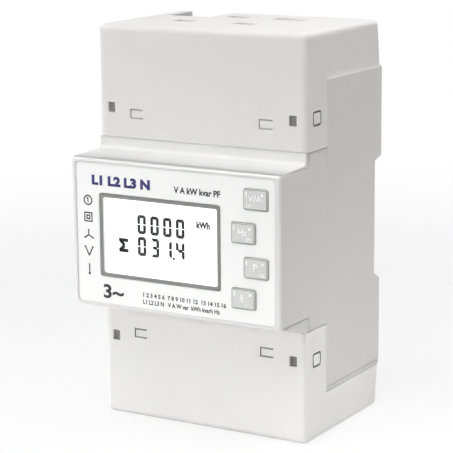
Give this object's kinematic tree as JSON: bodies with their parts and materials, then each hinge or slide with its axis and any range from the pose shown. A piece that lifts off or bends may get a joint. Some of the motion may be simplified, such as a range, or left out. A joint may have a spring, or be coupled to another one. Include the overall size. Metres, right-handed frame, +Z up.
{
  "type": "din rail energy meter",
  "caption": "DIN rail energy meter with a raised display and key panel, stepped terminal covers and a sliding rail clip.",
  "frame": {"origin": "centre of the flat rail seat on the back", "axes": "+X to the right seen from the front, +Y from the front panel to the rail, +Z up"},
  "size_m": [0.072, 0.0655, 0.1226],
  "materials": {
    "housing": "light grey moulded plastic, fine satin surface",
    "cover": "light grey moulded plastic, fine satin surface",
    "faceplate": "light grey moulded plastic",
    "label": "off-white printed film, satin",
    "bezel": "mid grey plastic frame",
    "window": "clear flat window",
    "lcd": "pale display glass with dark segments",
    "backlight": "white light guide",
    "key": "mid grey key caps with white legends",
    "black_plastic": "black moulded plastic",
    "steel": "plated steel",
    "board": "green circuit board",
    "block": "grey moulded plastic",
    "clip": "mid grey moulded plastic",
    "winding": "yellow wound transformer",
    "film_capacitor": "ochre cast box",
    "capacitor": "dark blue sleeve",
    "varistor": "blue dipped disc"
  },
  "bodies": {
    "meter": {"main_housing": "housing", "rear_base": "housing", "faceplate": "faceplate", "front_label": "label", "lcd_bezel": "bezel", "lcd_window": "window", "lcd_glass": "lcd", "lcd_backlight": "backlight", "display_header": "black_plastic", "power_header": "black_plastic", "metering_chip": "black_plastic", "processor_chip": "black_plastic", "key_switch_1": "steel", "key_switch_2": "steel", "key_switch_3": "steel", "key_switch_4": "steel", "top_terminal_screw_1": "steel", "top_terminal_screw_2": "steel", "top_terminal_screw_3": "steel", "top_terminal_screw_4": "steel", "top_terminal_screw_5": "steel", "top_terminal_screw_6": "steel", "top_terminal_clamp_1": "steel", "top_terminal_clamp_2": "steel", "top_terminal_clamp_3": "steel", "top_terminal_clamp_4": "steel", "top_terminal_clamp_5": "steel", "top_terminal_clamp_6": "steel", "bottom_terminal_screw_1": "steel", "bottom_terminal_screw_2": "steel", "bottom_terminal_screw_3": "steel", "bottom_terminal_screw_4": "steel", "bottom_terminal_clamp_1": "steel", "bottom_terminal_clamp_2": "steel", "bottom_terminal_clamp_3": "steel", "bottom_terminal_clamp_4": "steel", "display_board": "board", "measuring_board": "board", "power_board": "board", "top_terminal_block": "block", "bottom_terminal_block": "block", "supply_transformer": "winding", "filter_capacitor": "film_capacitor", "supply_capacitor": "capacitor", "varistor_1": "varistor", "varistor_2": "varistor", "varistor_3": "varistor"},
    "key_1": {"key_1": "key", "switch_plunger_1": "black_plastic"},
    "key_2": {"key_2": "key", "switch_plunger_2": "black_plastic"},
    "key_3": {"key_3": "key", "switch_plunger_3": "black_plastic"},
    "key_4": {"key_4": "key", "switch_plunger_4": "black_plastic"},
    "top_cover": {"top_terminal_cover": "cover"},
    "bottom_cover": {"bottom_terminal_cover": "cover"},
    "rail_clip": {"din_clip": "clip"}
  },
  "joints": [
    {"name": "key_1_press", "type": "slide", "parent": "meter", "child": "key_1", "axis": [0, 1, 0], "range_m": [0, 0.0006], "stiffness_N_per_m": 1200, "springref_m": -0.0006},
    {"name": "key_2_press", "type": "slide", "parent": "meter", "child": "key_2", "axis": [0, 1, 0], "range_m": [0, 0.0006], "stiffness_N_per_m": 1200, "springref_m": -0.0006},
    {"name": "key_3_press", "type": "slide", "parent": "meter", "child": "key_3", "axis": [0, 1, 0], "range_m": [0, 0.0006], "stiffness_N_per_m": 1200, "springref_m": -0.0006},
    {"name": "key_4_press", "type": "slide", "parent": "meter", "child": "key_4", "axis": [0, 1, 0], "range_m": [0, 0.0006], "stiffness_N_per_m": 1200, "springref_m": -0.0006},
    {"name": "top_cover_pull", "type": "slide", "parent": "meter", "child": "top_cover", "axis": [0, -1, 0], "range_m": [0, 0.045]},
    {"name": "bottom_cover_pull", "type": "slide", "parent": "meter", "child": "bottom_cover", "axis": [0, -1, 0], "range_m": [0, 0.045]},
    {"name": "rail_clip_slide", "type": "slide", "parent": "meter", "child": "rail_clip", "axis": [0, 0, -1], "range_m": [0, 0.005]}
  ]
}
